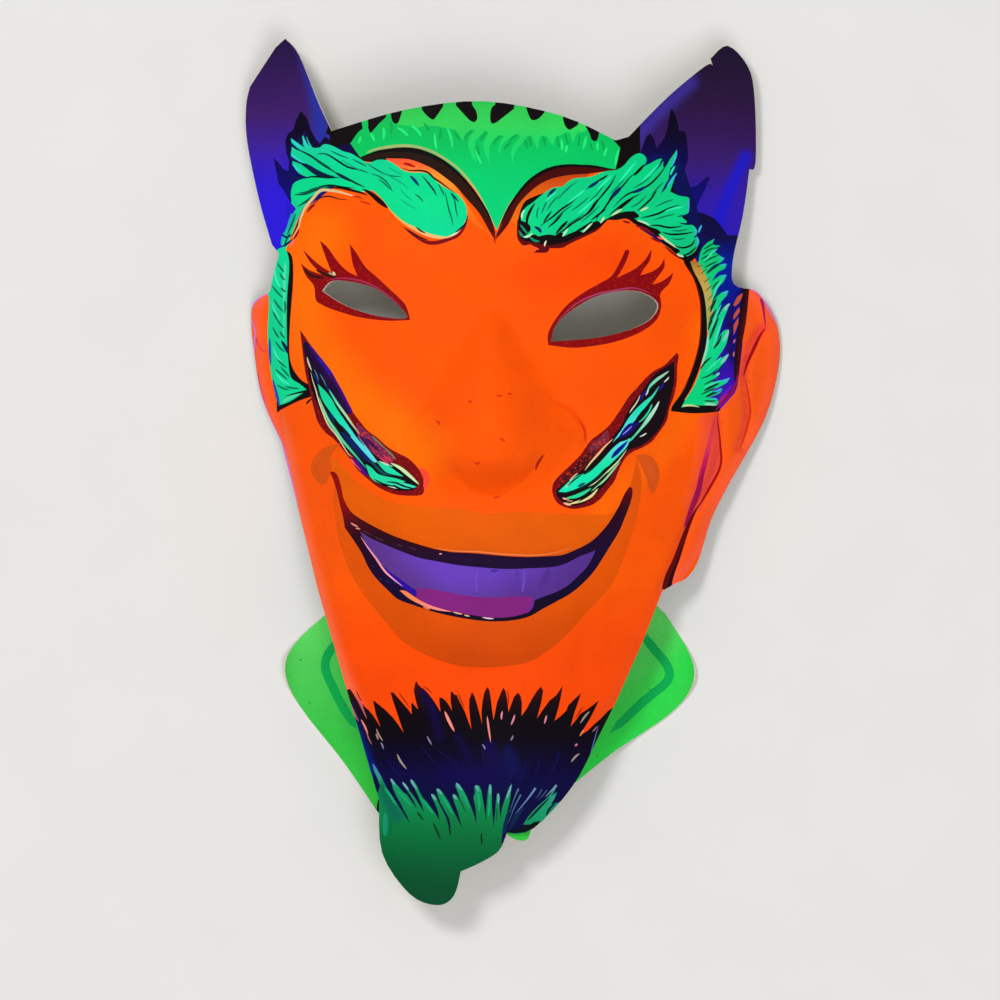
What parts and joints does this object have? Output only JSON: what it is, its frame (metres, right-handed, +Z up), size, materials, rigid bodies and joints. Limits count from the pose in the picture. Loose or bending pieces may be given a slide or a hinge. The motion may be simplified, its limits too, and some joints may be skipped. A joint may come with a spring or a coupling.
{
  "type": "devil mask",
  "caption": "Bowed printed-card party mask of a grinning devil with horns, ears, eye holes, a darted beard and a pointed collar glued behind the chin.",
  "frame": {"origin": "on the surface the mask lies on, below the middle of its bounding box", "axes": "+X to the viewer's right of the face, +Y from the beard towards the horns, +Z up out of the face"},
  "size_m": [0.161, 0.26, 0.0518],
  "materials": {
    "face_card": "matt printed card",
    "collar_card": "matt printed card"
  },
  "bodies": {
    "root": {"face_card": "face_card", "collar_card": "collar_card"}
  },
  "joints": []
}
